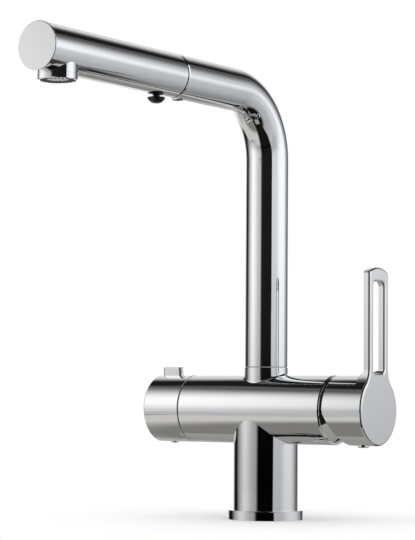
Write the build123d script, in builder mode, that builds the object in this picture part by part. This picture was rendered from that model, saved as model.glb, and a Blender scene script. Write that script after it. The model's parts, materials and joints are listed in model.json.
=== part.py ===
from build123d import *
import os
from math import cos, radians, sin, sqrt, tan

# Kitchen mixer tap with a pull-out spray, a side lever and a dishwasher shut-off knob.
# Millimetres. The origin is on the deck, on the axis of the column. +Z is up, the spout points
# along -Y, the lever stands on the +X end of the barrel and the shut-off knob on its -X end.

# Fits
running_gap = 0.06  # radial, between a shaft or pin and the hole that it turns in
slide_gap = 0.3  # between pieces that move past each other
seat_gap = 0.05  # radial, between pieces that are pressed or screwed together
seam_gap = 0.6  # open seam shown between two chromed pieces

# Base flange and pedestal
flange_d = 52.5
flange_h = 6.4
flange_edge = 0.4
pedestal_d = 45.0
pedestal_wall = 2.2
spigot_h = 4.5
spigot_wall = 1.2
gasket_w = 2.8
gasket_h = 1.2
gasket_inset = 1.4

# Connections in the boss above the pedestal, for hoses with M10 ends and M6 studs
floor_z = 44.0
connection_circle = 14.2
inlet_angle = 47.0
inlet_thread_r = 4.5
inlet_thread_depth = 12.0
stud_angle = 125.0
stud_thread_r = 2.5
stud_thread_depth = 14.0
channel_r = 3.0
branch_r = 2.0

# Barrel
barrel_d = 47.4
barrel_z = 75.5
barrel_left = 58.7
barrel_edge = 0.5
barrel_bevel_len = 0.8
barrel_bevel_depth = 0.4

# Hose passage and hose
hose_d = 12.0
hose_room = 2.5
guide_len = 8.0
coupling_wall = 1.2
coupling_len = 20.0
coupling_low_z = 12.0
hose_insert = 13.0

# Mixing cartridge, measured from the wall it stands on
cartridge_d = 35.0
cartridge_seat = 18.0
cartridge_len = 32.0
cartridge_base_t = 6.0
cartridge_wall = 2.5
port_drop = 3.0
port_rise = 9.0
port_seal_w = 1.5
port_seal_t = 1.6
disc_t = 4.0
disc_gap = 0.05
mixing_room = 1.5
mixing_pocket_d = 13.0
mixing_pocket_depth = 1.8
closed_offset = 2.0
carrier_t = 6.0
carrier_room = 0.45
turret_flange_t = 2.6
turret_d = 21.8
pivot_depth = 5.0
pivot_pin_d = 3.0
stem_rod_d = 6.0
stem_arm = 9.0
stem_neck_d = 4.4
stem_eye = 3.4
stem_square = 8.0
lever_tilt = 25.0

# Ring nut and domed cover
nut_thread_d = 40.0
nut_t = 4.5
nut_bore_d = 24.0
nut_slot_w = 4.0
nut_slot_depth = 1.5
cover_seat = 2.8
cover_gap = 0.5
cover_t = 2.5
cover_mouth_d = 30.0
cover_spigot_wall = 1.6

# Lever handle
hub_gap = 2.2
hub_len = 26.4
hub_wall = 2.2
hub_round = 0.9
hub_depth = 13.5
plate_t = 4.9
plate_lip = 0.05
lever_rise = 95.8
bar_w = 24.6
bar_corner_r = 2.2
neck_r = 15.0
slot_w = 14.2
slot_low = 24.7
slot_high = 86.0
slot_corner_r = 3.0
sweep_r = 4.0
plate_edge = 1.6
relief_angle = 24.6
lever_screw_at = 19.0
screw_r = 2.5
screw_len = 9.0
screw_hex = 2.5
screw_hex_depth = 3.0
lever_plug_d = 7.5
lever_plug_proud = 1.3
knob_plug_d = 5.6
knob_plug_proud = 0.8
plug_depth = 3.0
plug_dimple_share = 0.5
plug_dimple_depth = 0.9

# Shut-off valve and knob, measured from the column along -X
valve_seat = 20.0
valve_thread_d = 21.0
valve_seal_t = 1.5
valve_seal_id = 12.0
valve_cup_d = 16.0
valve_disc_t = 3.0
valve_port_r = 4.0
valve_port_at = 2.0
valve_moving_port_r = 2.0
valve_moving_port_at = 3.2
driver_t = 4.0
driver_room = 0.5
spindle_d = 8.0
hex_start = 46.0
hex_t = 5.0
hex_flats = 26.0
hex_room = 0.5
neck_d = 17.0
neck_end = 60.0
spindle_seal_w = 1.4
spindle_seal_t = 2.0
spindle_seal_at = 40.0
knob_len = 29.7
knob_wall = 2.7
knob_end_t = 6.0
knob_edge = 0.9
knob_seam_edge = 0.4
boss_wall = 4.0
boss_gap = 0.8
spindle_grip = 2.0
tab_w = 16.2
tab_t = 4.4
tab_rise = 5.8
tab_inset = 2.8
tab_edge = 0.5
# Degrees that the tab stands over to the front while the valve is shut
tab_turn = 5.5

# Spout
spout_d = 29.8
spout_wall = 1.5
collar_d = 30.4
collar_h = 5.1
saddle_r = 1.6
arm_z = 293.0
bend_r = 44.0
reach = 248.0
seam_at = 113.7
dock_seam_gap = 1.2
dock_edge = 0.3
dock_bevel_len = 1.1
dock_bevel_depth = 0.22

# Spout swivel, measured from the top of the collar
swivel_d = 23.0
swivel_sink = 16.3
swivel_rise = 34.7
bush_lip_t = 0.55
bush_lip_inset = 0.6
bush_len = 7.0
upper_bush_at = 19.7
seal_at = (10.7, 15.7)
inner_collar_at = 27.7
inner_collar_h = 4.0
snap_gap = 0.3
snap_t = 1.2
snap_groove = 0.6

# Docking end of the spout
dock_len = 38.0
dock_bore_d = 21.8
dock_screw_back = 7.8
dock_screw_head_d = 7.0
dock_screw_head_t = 0.8
dock_screw_sink = 0.6
dock_screw_d = 2.8

# Spray head, measured from the column along -Y
shell_wall = 1.6
cap_t = 1.8
cap_edge = 0.5
cap_ring_len = 4.0
cap_ring_wall = 1.6
tail_len = 35.5
tail_wall = 2.5
tail_flange_t = 4.0
waterway_d = 19.0
waterway_bore_d = 9.0
waterway_rib_back = 22.0
waterway_rib_t = 3.0
nut_len = 18.0
washer_t = 2.0
check_valve_len = 11.6
check_valve_d = 11.8
poppet_d = 4.5
poppet_bar = 1.6
nozzle_back = 19.7
nozzle_d = 24.4
nozzle_drop = 3.7
nozzle_wall = 2.0
nozzle_ring_h = 3.9
nozzle_ring_wall = 1.2
nozzle_ring_edge = 0.3
nozzle_seam_edge = 0.2
nozzle_sink = 3.0
stub_wall = 3.0
face_recess = 0.7
face_gap = 0.3
jet_count = 24
jet_r = 0.55
jet_proud = 1.0
jet_inset = 1.9
aerator_d = 12.4
aerator_t = 5.0
aerator_cell_r = 0.7
aerator_pitch = 1.9
aerator_rows = 5
aerator_cell_depth = 2.5

# Spray button
button_back = 15.5
button_d = 11.6
button_dome_h = 3.8
button_gap = 1.3
button_neck_d = 4.6
button_travel = 1.0
plunger_flange_d = 7.0
plunger_flange_t = 0.8
plunger_seal_d = 7.0
plunger_seal_t = 1.0
spring_wire_d = 0.6
spring_turns = 3
spring_roof = 1.5

# Radii and places that follow from the sizes above
barrel_r = barrel_d / 2
spout_r = spout_d / 2
spout_bore_r = spout_r - spout_wall
passage_r = hose_d / 2 + hose_room
pedestal_bore_r = pedestal_d / 2 - pedestal_wall
cartridge_end = cartridge_seat + cartridge_len
pivot_x = cartridge_end - pivot_depth
housing_r = cartridge_d / 2
housing_bore_r = housing_r - cartridge_wall
mixing_disc_r = housing_bore_r - closed_offset - mixing_room
lean = radians(lever_tilt)
stem_square_x = pivot_x + (pivot_depth + slide_gap + stem_square / 2 * sin(lean)) / cos(lean)
nut_end = cartridge_end + nut_t
barrel_right = nut_end + cover_seat
hub_left = barrel_right + hub_gap
hub_r = barrel_r - plate_lip
hub_bore_r = hub_r - hub_wall
cover_sphere_r = sqrt((hub_left - pivot_x) ** 2 + hub_bore_r**2) - cover_gap
plate_back = hub_left + hub_len
lever_face_x = plate_back + plate_t
lever_screw_x = hub_left + lever_screw_at
lever_top_z = barrel_z + lever_rise
hex_room_r = hex_flats / 2 / cos(radians(30)) + hex_room
knob_start = barrel_left + seam_gap
knob_end = knob_start + knob_len
tab_mid = knob_end - tab_inset - tab_w / 2
collar_top = barrel_z + barrel_r + collar_h
swivel_low_z = collar_top - swivel_sink
swivel_top_z = collar_top + swivel_rise
upper_bush_z = collar_top + upper_bush_at
inner_collar_z = collar_top + inner_collar_at
spout_low_z = collar_top + seam_gap
spout_end = seam_at - dock_seam_gap / 2
shell_start = seam_at + dock_seam_gap / 2
shell_end = reach - cap_t
shell_bore_r = spout_r - shell_wall
nozzle_at = reach - nozzle_back
button_at = seam_at + button_back
inlet_x = connection_circle * cos(radians(inlet_angle))
inlet_y = connection_circle * sin(radians(inlet_angle))
cold_branch_y = passage_r + branch_r + pedestal_wall / 2

# Working planes: each one's normal runs along the axis of the pieces that it carries
deck = Plane.XY
lever_axis = Plane(origin=(0, 0, barrel_z), x_dir=(0, 1, 0), z_dir=(1, 0, 0))
knob_axis = Plane(origin=(0, 0, barrel_z), x_dir=(0, -1, 0), z_dir=(-1, 0, 0))
arm_axis = Plane(origin=(0, 0, arm_z), x_dir=(1, 0, 0), z_dir=(0, -1, 0))
nozzle_axis = Plane(origin=(0, -nozzle_at, 0), x_dir=(1, 0, 0), z_dir=(0, 0, 1))
button_axis = Plane(origin=(0, -button_at, 0), x_dir=(1, 0, 0), z_dir=(0, 0, 1))
from_base = (Align.CENTER, Align.CENTER, Align.MIN)


def rod(plane, start, end, radius, at=(0, 0), mode=Mode.ADD):
    """A round rod along a plane's normal, from start to end, added to the open part."""
    with Locations(plane.offset(start).location * Location((at[0], at[1], 0))):
        Cylinder(radius, end - start, align=from_base, mode=mode)


def bore(plane, start, end, radius, at=(0, 0)):
    """A round hole along a plane's normal, from start to end, cut from the open part."""
    rod(plane, start, end, radius, at, mode=Mode.SUBTRACT)


def ring(plane, start, end, outer_r, inner_r, at=(0, 0)):
    """A plain ring along a plane's normal."""
    rod(plane, start, end, outer_r, at)
    bore(plane, start, end, inner_r, at)


def save(part, name):
    """Label a finished piece and write it to its own file."""
    part.label = name
    export_step(part, f"parts/{name}.step")


os.makedirs("parts", exist_ok=True)

# Base: flange on the deck, gasket below it

with BuildPart() as base_flange:
    rod(deck, 0, flange_h, flange_d / 2)
    fillet(base_flange.edges().group_by(Axis.Z)[-1], flange_edge)
    spigot_r = pedestal_bore_r - seat_gap
    rod(deck, flange_h, flange_h + spigot_h, spigot_r)
    bore(deck, 0, flange_h + spigot_h, spigot_r - spigot_wall)
    gasket_outer_r = flange_d / 2 - gasket_inset
    ring_groove_r = (gasket_outer_r + seat_gap, gasket_outer_r - gasket_w - seat_gap)
    with BuildSketch(deck):
        Circle(ring_groove_r[0])
        Circle(ring_groove_r[1], mode=Mode.SUBTRACT)
    extrude(amount=gasket_h, mode=Mode.SUBTRACT)
save(base_flange.part, "base_flange")

with BuildPart() as base_gasket:
    ring(deck, 0, gasket_h, gasket_outer_r, gasket_outer_r - gasket_w)
save(base_gasket.part, "base_gasket")

# Pedestal: a sleeve that stands on the flange and is cut to the barrel's round at its top

with BuildPart() as pedestal:
    ring(deck, flange_h, barrel_z, pedestal_d / 2, pedestal_bore_r)
    bore(lever_axis, -pedestal_d, pedestal_d, barrel_r + seat_gap)
save(pedestal.part, "pedestal")

# Body casting: barrel, spout collar and the boss in the pedestal, with its bores and water channels

collar_bore_r = swivel_d / 2 + seat_gap
nut_thread_r = nut_thread_d / 2
valve_thread_r = valve_thread_d / 2
connections = {
    "hot": (inlet_x, inlet_y),
    "cold": (inlet_x, -inlet_y),
    "mixed": (connection_circle, 0),
    "dishwasher": (-connection_circle, 0),
}
stud_places = [
    (connection_circle * cos(radians(stud_angle)), side * connection_circle * sin(radians(stud_angle)))
    for side in (1, -1)
]

with BuildPart() as body_casting:
    rod(lever_axis, -barrel_left, barrel_right, barrel_r)
    fillet(body_casting.edges().filter_by(GeomType.CIRCLE).sort_by(Axis.X)[0], barrel_edge)
    barrel_end = body_casting.faces().sort_by(Axis.X)[-1]
    chamfer(barrel_end.edges(), barrel_bevel_depth, barrel_bevel_len, reference=barrel_end)
    rod(deck, barrel_z, collar_top, collar_d / 2)
    saddles = (
        body_casting.edges()
        .filter_by(GeomType.CIRCLE, reverse=True)
        .filter_by(GeomType.LINE, reverse=True)
        .filter_by(lambda edge: abs(edge.center().X) < collar_d)
    )
    fillet(saddles.filter_by(lambda edge: edge.center().Z > barrel_z), saddle_r)
    # Boss in the pedestal, hose passage and the spigot's seat
    rod(deck, floor_z, barrel_z, pedestal_bore_r - seat_gap)
    bore(deck, floor_z, collar_top, passage_r)
    bore(deck, swivel_low_z, collar_top, collar_bore_r)
    # Cartridge chamber and nut thread on the right
    bore(lever_axis, cartridge_seat, barrel_right, cartridge_d / 2 + 2 * seat_gap)
    bore(lever_axis, cartridge_end - slide_gap, barrel_right, nut_thread_r)
    # Valve chamber on the left
    bore(knob_axis, valve_seat, barrel_left, valve_thread_r)
    bore(knob_axis, hex_start, barrel_left, hex_room_r)
    # Threaded connections in the boss
    for place in connections.values():
        bore(deck, floor_z, floor_z + inlet_thread_depth, inlet_thread_r, place)
    for place in stud_places:
        bore(deck, floor_z, floor_z + stud_thread_depth, stud_thread_r, place)
    # Channels from the inlets to the cartridge, and back from it
    for name in ("hot", "cold"):
        bore(deck, floor_z, barrel_z - port_drop, channel_r, connections[name])
        bore(lever_axis, inlet_x, cartridge_seat, channel_r, (connections[name][1], -port_drop))
    bore(deck, floor_z, barrel_z + port_rise, channel_r, connections["mixed"])
    bore(lever_axis, connection_circle, cartridge_seat, channel_r, (0, port_rise))
    # Channels to the shut-off valve and from it to the dishwasher
    branch_end = valve_seat + valve_thread_r
    bore(lever_axis, -branch_end, inlet_x, branch_r, (-cold_branch_y, -port_drop))
    branch_port = Plane(origin=(-branch_end, 0, barrel_z - port_drop), x_dir=(1, 0, 0), z_dir=(0, -1, 0))
    bore(branch_port, valve_thread_r / 2, cold_branch_y + branch_r / 2, branch_r)
    bore(deck, floor_z, barrel_z, channel_r, connections["dishwasher"])
    bore(knob_axis, connection_circle, valve_seat, channel_r)
save(body_casting.part, "body_casting")

with BuildPart() as hose_guide:
    guide_r = passage_r - seat_gap
    ring(deck, floor_z, floor_z + guide_len, guide_r, hose_d / 2 + slide_gap)
save(hose_guide.part, "hose_guide")

# Mixing cartridge

fixed_disc_x = cartridge_seat + cartridge_base_t
mixing_disc_x = fixed_disc_x + disc_t + disc_gap
carrier_x = mixing_disc_x + disc_t
turret_x = carrier_x + carrier_t + slide_gap
turret_neck_x = turret_x + turret_flange_t
turret_r = turret_d / 2
stem_tip_x = pivot_x - stem_arm
ports = [(inlet_y, -port_drop), (-inlet_y, -port_drop), (0, port_rise)]

with BuildPart() as cartridge_base:
    rod(lever_axis, cartridge_seat, fixed_disc_x, housing_r)
    for place in ports:
        bore(lever_axis, cartridge_seat, fixed_disc_x, channel_r, place)
        seal_seat_r = channel_r + port_seal_w + seat_gap
        bore(lever_axis, cartridge_seat, cartridge_seat + port_seal_t, seal_seat_r, place)
save(cartridge_base.part, "cartridge_base")

with BuildPart() as cartridge_seals:
    for place in ports:
        rod(lever_axis, cartridge_seat, cartridge_seat + port_seal_t, channel_r + port_seal_w, place)
    for place in ports:
        bore(lever_axis, cartridge_seat, cartridge_seat + port_seal_t, channel_r, place)
save(cartridge_seals.part, "cartridge_seals")

with BuildPart() as cartridge_housing:
    rod(lever_axis, fixed_disc_x, cartridge_end, housing_r)
    bore(lever_axis, fixed_disc_x, turret_neck_x + slide_gap, housing_bore_r)
    bore(lever_axis, fixed_disc_x, cartridge_end, turret_r + slide_gap)
save(cartridge_housing.part, "cartridge_housing")

with BuildPart() as fixed_disc:
    rod(lever_axis, fixed_disc_x, fixed_disc_x + disc_t, housing_bore_r - 2 * seat_gap)
    for place in ports:
        bore(lever_axis, fixed_disc_x, fixed_disc_x + disc_t, channel_r, place)
save(fixed_disc.part, "fixed_disc")

with BuildPart() as mixing_disc:
    rod(lever_axis, mixing_disc_x, carrier_x, mixing_disc_r, (0, -closed_offset))
    pocket_end = mixing_disc_x + mixing_pocket_depth
    bore(lever_axis, mixing_disc_x, pocket_end, mixing_pocket_d / 2, (0, closed_offset))
save(mixing_disc.part, "mixing_disc")

with BuildPart() as disc_carrier:
    carrier_end = carrier_x + carrier_t
    rod(lever_axis, carrier_x, carrier_end, mixing_disc_r, (0, -closed_offset))
    socket_x = stem_tip_x - stem_rod_d / 2 - slide_gap
    socket_r = stem_rod_d / 2 + carrier_room
    bore(lever_axis, socket_x, carrier_end, socket_r)
save(disc_carrier.part, "disc_carrier")

with BuildPart() as cartridge_turret:
    rod(lever_axis, turret_x, turret_neck_x, housing_bore_r - slide_gap)
    rod(lever_axis, turret_neck_x, cartridge_end, turret_r)
    # The slot leaves the stem room to tilt
    stem_swing = (pivot_x - turret_x) * tan(lean) + stem_rod_d / 2 / cos(lean)
    with BuildSketch(lever_axis.offset(turret_x)):
        Rectangle(stem_rod_d + 2 * slide_gap, 2 * (stem_swing + slide_gap))
    extrude(amount=cartridge_end - turret_x, mode=Mode.SUBTRACT)
    pin_axis = Plane(origin=(pivot_x, 0, barrel_z), x_dir=(1, 0, 0), z_dir=(0, 1, 0))
    bore(pin_axis, -turret_r, turret_r, pivot_pin_d / 2 + seat_gap)
save(cartridge_turret.part, "cartridge_turret")

with BuildPart() as pivot_pin:
    pin_half = turret_r - 2 * slide_gap
    rod(pin_axis, -pin_half, pin_half, pivot_pin_d / 2)
save(pivot_pin.part, "pivot_pin")

stem_end_x = lever_face_x - plate_t - seam_gap

with BuildPart() as lever_stem:
    # Ball in the disc carrier, slim neck, eye on the pin and square end in the handle
    with Locations((stem_tip_x, 0, barrel_z)):
        Sphere(stem_rod_d / 2)
    rod(lever_axis, stem_tip_x, pivot_x - stem_eye, stem_neck_d / 2)
    rod(lever_axis, pivot_x - stem_eye, stem_square_x, stem_rod_d / 2)
    with BuildSketch(lever_axis.offset(stem_square_x)):
        Rectangle(stem_square, stem_square)
    extrude(amount=stem_end_x - stem_square_x)
    bore(pin_axis, -stem_square, stem_square, pivot_pin_d / 2 + running_gap)
save(lever_stem.part, "lever_stem")

with BuildPart() as cartridge_nut:
    ring(lever_axis, cartridge_end, nut_end, nut_thread_r - seat_gap, nut_bore_d / 2)
    with BuildSketch(lever_axis.offset(nut_end)):
        Rectangle(nut_thread_d, nut_slot_w)
        Rectangle(nut_slot_w, nut_thread_d)
    extrude(amount=-nut_slot_depth, mode=Mode.SUBTRACT)
save(cartridge_nut.part, "cartridge_nut")

# The cover is part of a sphere about the lever's pivot, so the hub clears it at every angle
cover_inner_r = cover_sphere_r - cover_t
cover_spigot_r = nut_thread_r - seat_gap
cover_throat_r = cover_spigot_r - cover_spigot_wall


def on_cover(radius, height):
    """Point of the cover's profile on a sphere about the pivot, at a height over the lever's axis."""
    return (pivot_x + sqrt(radius**2 - height**2), barrel_z + height)


with BuildPart() as cartridge_cover:
    mouth_r = cover_mouth_d / 2
    foot_r = sqrt(cover_sphere_r**2 - (barrel_right - pivot_x) ** 2)
    with BuildSketch(Plane.XZ):
        with BuildLine():
            outside = ThreePointArc(
                (barrel_right, barrel_z + foot_r),
                on_cover(cover_sphere_r, (foot_r + mouth_r) / 2),
                on_cover(cover_sphere_r, mouth_r),
            )
            lip = Line(outside @ 1, on_cover(cover_inner_r, mouth_r))
            inside = ThreePointArc(
                lip @ 1,
                on_cover(cover_inner_r, (cover_throat_r + mouth_r) / 2),
                on_cover(cover_inner_r, cover_throat_r),
            )
            Polyline(
                inside @ 1,
                (nut_end, barrel_z + cover_throat_r),
                (nut_end, barrel_z + cover_spigot_r),
                (barrel_right, barrel_z + cover_spigot_r),
                outside @ 0,
            )
        make_face()
    revolve(axis=Axis((0, 0, barrel_z), (1, 0, 0)))
save(cartridge_cover.part, "cartridge_cover")

# Lever handle: hub, teardrop plate and slotted bar in one

cavity_end = hub_left + hub_depth


def plate_outline(plane):
    """Outline of the lever's plate: a disc that narrows in hollow curves to a bar with an arched end."""
    half_w = bar_w / 2
    top = lever_top_z - barrel_z
    shoulder = top - barrel_r + sqrt(barrel_r**2 - half_w**2)
    neck_y = sqrt((barrel_r + neck_r) ** 2 - (half_w + neck_r) ** 2)
    share = barrel_r / (barrel_r + neck_r)
    joint_x = (half_w + neck_r) * share
    joint_y = neck_y * share
    with BuildSketch(plane) as outline:
        with BuildLine():
            low_disc = ThreePointArc((-joint_x, joint_y), (0, -barrel_r), (joint_x, joint_y))
            neck = RadiusArc(low_disc @ 1, (half_w, neck_y), neck_r)
            side = Line(neck @ 1, (half_w, shoulder))
            arch = ThreePointArc(side @ 1, (0, top), (-half_w, shoulder))
            back = Line(arch @ 1, (-half_w, neck_y))
            RadiusArc(back @ 1, low_disc @ 0, neck_r)
        make_face()
        fillet(outline.vertices().group_by(Axis.Y)[-1], bar_corner_r)
    return outline.sketch


with BuildPart() as lever_handle:
    # Turned form: hub, the hollow curve from the hub up into the back of the bar, and the plate
    sweep_start = plate_back - sweep_r
    with BuildSketch(Plane.XZ):
        with BuildLine():
            rim_low = (hub_left, barrel_z + hub_r - hub_round)
            hub_rim = RadiusArc(rim_low, (hub_left + hub_round, barrel_z + hub_r), -hub_round)
            hub_top = Line(hub_rim @ 1, (sweep_start, barrel_z + hub_r))
            hollow = RadiusArc(hub_top @ 1, (plate_back, barrel_z + hub_r + sweep_r), sweep_r)
            Polyline(
                hollow @ 1,
                (plate_back, lever_top_z + bar_w),
                (lever_face_x, lever_top_z + bar_w),
                (lever_face_x, barrel_z),
                (hub_left, barrel_z),
                hub_rim @ 0,
            )
        make_face()
    revolve(axis=Axis((0, 0, barrel_z), (1, 0, 0)))
    extrude(plate_outline(lever_axis), amount=lever_face_x + plate_t, mode=Mode.INTERSECT)
    # Slot through the bar
    slot_mid = (slot_low + slot_high) / 2
    with BuildSketch(lever_axis.offset(sweep_start)):
        with Locations((0, slot_mid)):
            RectangleRounded(slot_w, slot_high - slot_low, slot_corner_r)
    extrude(amount=plate_t + sweep_r, mode=Mode.SUBTRACT)
    fillet(lever_handle.faces().sort_by(Axis.X)[-1].edges(), plate_edge)
    # Hollow of the hub, and the relief that lets it tilt past the barrel
    bore(lever_axis, hub_left, cavity_end, hub_bore_r)
    with BuildSketch(Plane.XZ):
        with BuildLine():
            Polyline(
                (hub_left, barrel_z),
                (hub_left + barrel_d * tan(radians(relief_angle)), barrel_z - barrel_d),
                (barrel_right, barrel_z - barrel_d),
                (barrel_right, barrel_z),
                close=True,
            )
        make_face()
    extrude(amount=barrel_d, both=True, mode=Mode.SUBTRACT)
    # Socket of the stem and the screw that grips it
    with BuildSketch(lever_axis.offset(cavity_end)):
        Rectangle(stem_square + 2 * seat_gap, stem_square + 2 * seat_gap)
    extrude(amount=stem_end_x - cavity_end, mode=Mode.SUBTRACT)
    lever_screw_axis = Plane(origin=(lever_screw_x, 0, barrel_z), x_dir=(1, 0, 0), z_dir=(0, 0, -1))
    bore(lever_screw_axis, stem_square / 2, barrel_d, screw_r + seat_gap)
    lever_plug_seat = barrel_r - plug_depth
    bore(lever_screw_axis, lever_plug_seat, barrel_d, lever_plug_d / 2)
save(lever_handle.part, "lever_handle")


def grub_screw(axis, tip):
    """A socket-head grub screw that points along an axis from its tip."""
    with BuildPart() as screw:
        rod(axis, tip, tip + screw_len, screw_r)
        with BuildSketch(axis.offset(tip + screw_len)):
            RegularPolygon(screw_hex / 2, 6, major_radius=False)
        extrude(amount=-screw_hex_depth, mode=Mode.SUBTRACT)
    return screw.part


def screw_plug(axis, plug_d, proud):
    """A domed cap over a grub screw's hole, with a dimple in its middle."""
    with BuildPart() as plug:
        rod(axis, barrel_r - plug_depth, barrel_r + proud, plug_d / 2 - seat_gap)
        fillet(plug.edges().sort_by(Axis.Z)[0], proud / 2)
        end = barrel_r + proud
        bore(axis, end - plug_dimple_depth, end, plug_d / 2 * plug_dimple_share)
    return plug.part


save(grub_screw(lever_screw_axis, stem_square / 2), "lever_grub_screw")
save(screw_plug(lever_screw_axis, lever_plug_d, lever_plug_proud), "lever_plug")

# Shut-off valve, along -X

headwork_start = valve_seat + valve_seal_t
valve_disc_split = headwork_start + valve_disc_t
driver_start = valve_disc_split + disc_gap + valve_disc_t
driver_end = driver_start + driver_t
spindle_r = spindle_d / 2
spindle_end = knob_end - knob_end_t + spindle_grip
spindle_seal_end = spindle_seal_at + spindle_seal_t

with BuildPart() as valve_headwork:
    rod(knob_axis, headwork_start, hex_start, valve_thread_r - seat_gap)
    with BuildSketch(knob_axis.offset(hex_start)):
        RegularPolygon(hex_flats / 2, 6, major_radius=False)
    extrude(amount=hex_t)
    rod(knob_axis, hex_start, neck_end, neck_d / 2)
    bore(knob_axis, headwork_start, driver_end + slide_gap, valve_cup_d / 2)
    bore(knob_axis, headwork_start, neck_end, spindle_r + running_gap)
    bore(knob_axis, spindle_seal_at, spindle_seal_end, spindle_r + spindle_seal_w)
save(valve_headwork.part, "valve_headwork")

with BuildPart() as valve_seal:
    ring(knob_axis, valve_seat, headwork_start, valve_thread_r - 2 * slide_gap, valve_seal_id / 2)
save(valve_seal.part, "valve_seal")

with BuildPart() as valve_fixed_disc:
    rod(knob_axis, headwork_start, valve_disc_split, valve_cup_d / 2 - seat_gap)
    bore(knob_axis, headwork_start, valve_disc_split, valve_port_r, (valve_port_at, 0))
save(valve_fixed_disc.part, "valve_fixed_disc")

with BuildPart() as valve_moving_disc:
    rod(knob_axis, valve_disc_split + disc_gap, driver_start, valve_cup_d / 2 - slide_gap)
    moving_port = (-valve_moving_port_at, 0)
    bore(knob_axis, valve_disc_split + disc_gap, driver_start, valve_moving_port_r, moving_port)
save(valve_moving_disc.part, "valve_moving_disc")

with BuildPart() as valve_spindle:
    rod(knob_axis, driver_start, driver_end, valve_cup_d / 2 - driver_room)
    rod(knob_axis, driver_end, spindle_end, spindle_r)
save(valve_spindle.part, "valve_spindle")

with BuildPart() as spindle_seal:
    seal_bore_r = spindle_r + running_gap
    ring(knob_axis, spindle_seal_at, spindle_seal_end, spindle_r + spindle_seal_w - seat_gap, seal_bore_r)
save(spindle_seal.part, "spindle_seal")

# Finger tab on top of the knob, with round ends and a softened upper edge
with BuildPart() as tab:
    tab_up = (0, -sin(radians(tab_turn)), cos(radians(tab_turn)))
    with BuildSketch(Plane(origin=(-tab_mid, 0, barrel_z), x_dir=(1, 0, 0), z_dir=tab_up)):
        SlotOverall(tab_w, tab_t)
    extrude(amount=barrel_r + tab_rise)
    fillet(tab.faces().sort_by(Axis.Z)[-1].edges(), tab_edge)

with BuildPart() as shutoff_knob:
    rod(knob_axis, knob_start, knob_end, barrel_r)
    knob_rims = shutoff_knob.edges().filter_by(GeomType.CIRCLE).sort_by(Axis.X)
    fillet(knob_rims[0], knob_edge)
    fillet(knob_rims[-1], knob_seam_edge)
    add(tab.part)
    bore(knob_axis, knob_start, knob_end - knob_end_t, barrel_r - knob_wall)
    rod(knob_axis, neck_end + boss_gap, knob_end - knob_end_t, spindle_r + boss_wall)
    bore(knob_axis, neck_end + boss_gap, spindle_end, spindle_r + seat_gap)
    knob_screw_axis = Plane(origin=(-tab_mid, 0, barrel_z), x_dir=(1, 0, 0), z_dir=(0, 0, -1))
    bore(knob_screw_axis, spindle_r, barrel_d, screw_r + seat_gap)
    bore(knob_screw_axis, barrel_r - plug_depth, barrel_d, knob_plug_d / 2)
save(shutoff_knob.part, "shutoff_knob")

save(grub_screw(knob_screw_axis, spindle_r), "knob_grub_screw")
save(screw_plug(knob_screw_axis, knob_plug_d, knob_plug_proud), "knob_plug")

# Spout swivel: a spigot screwed into the collar, with bushes, seals and a snap ring

swivel_r = swivel_d / 2
bush_r = spout_bore_r - running_gap
snap_z = inner_collar_z + inner_collar_h + snap_gap

with BuildPart() as spout_spigot:
    rod(deck, swivel_low_z, swivel_top_z, swivel_r)
    bore(deck, swivel_low_z, swivel_top_z, passage_r)
    with BuildSketch(deck.offset(snap_z)):
        Circle(swivel_r)
        Circle(swivel_r - snap_groove, mode=Mode.SUBTRACT)
    extrude(amount=snap_t, mode=Mode.SUBTRACT)
save(spout_spigot.part, "spout_spigot")

with BuildPart() as lower_bush:
    rod(deck, collar_top, collar_top + bush_lip_t, spout_r - bush_lip_inset)
    rod(deck, collar_top, collar_top + bush_len, bush_r)
    bore(deck, collar_top, collar_top + bush_len, swivel_r + seat_gap)
save(lower_bush.part, "lower_bush")

with BuildPart() as upper_bush:
    ring(deck, upper_bush_z, upper_bush_z + bush_len, bush_r, swivel_r + seat_gap)
save(upper_bush.part, "upper_bush")

with BuildPart() as spout_seals:
    seal_wire_r = (bush_r - swivel_r - seat_gap) / 2
    with Locations(*[(0, 0, collar_top + height) for height in seal_at]):
        Torus(swivel_r + seat_gap + seal_wire_r, seal_wire_r)
save(spout_seals.part, "spout_seals")

with BuildPart() as snap_ring:
    ring(deck, snap_z, snap_z + snap_t, bush_r - slide_gap, swivel_r - snap_groove + seat_gap)
save(snap_ring.part, "snap_ring")

# Spout tube: riser, bend and arm


def spout_path(start_z, arm_end):
    """Centre line of the spout from a height on the riser to a distance along the arm."""
    with BuildLine() as path:
        FilletPolyline((0, 0, start_z), (0, 0, arm_z), (0, -arm_end, arm_z), radius=bend_r)
    return path.line


dock_screw_at = seam_at - dock_screw_back
dock_screw_seat = spout_r - dock_screw_sink
dock_screw_axis = Plane(origin=(0, -dock_screw_at, arm_z), x_dir=(1, 0, 0), z_dir=(0, 0, -1))

with BuildPart() as spout_tube:
    with BuildSketch(deck.offset(spout_low_z)):
        Circle(spout_r)
        Circle(spout_bore_r, mode=Mode.SUBTRACT)
    sweep(path=spout_path(spout_low_z, spout_end))
    dock_end = spout_tube.faces().sort_by(Axis.Y)[0]
    dock_rim = dock_end.edges().sort_by(SortBy.LENGTH)[-1]
    chamfer(dock_rim, dock_bevel_depth, dock_bevel_len, reference=dock_end)
    bore(dock_screw_axis, 0, spout_r + slide_gap, dock_screw_d / 2 + seat_gap)
    bore(dock_screw_axis, dock_screw_seat, spout_r + slide_gap, dock_screw_head_d / 2 + seat_gap)
save(spout_tube.part, "spout_tube")

with BuildPart() as spout_inner_collar:
    inner_collar_end = inner_collar_z + inner_collar_h
    ring(deck, inner_collar_z, inner_collar_end, spout_bore_r - seat_gap, swivel_r + slide_gap)
save(spout_inner_collar.part, "spout_inner_collar")

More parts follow.
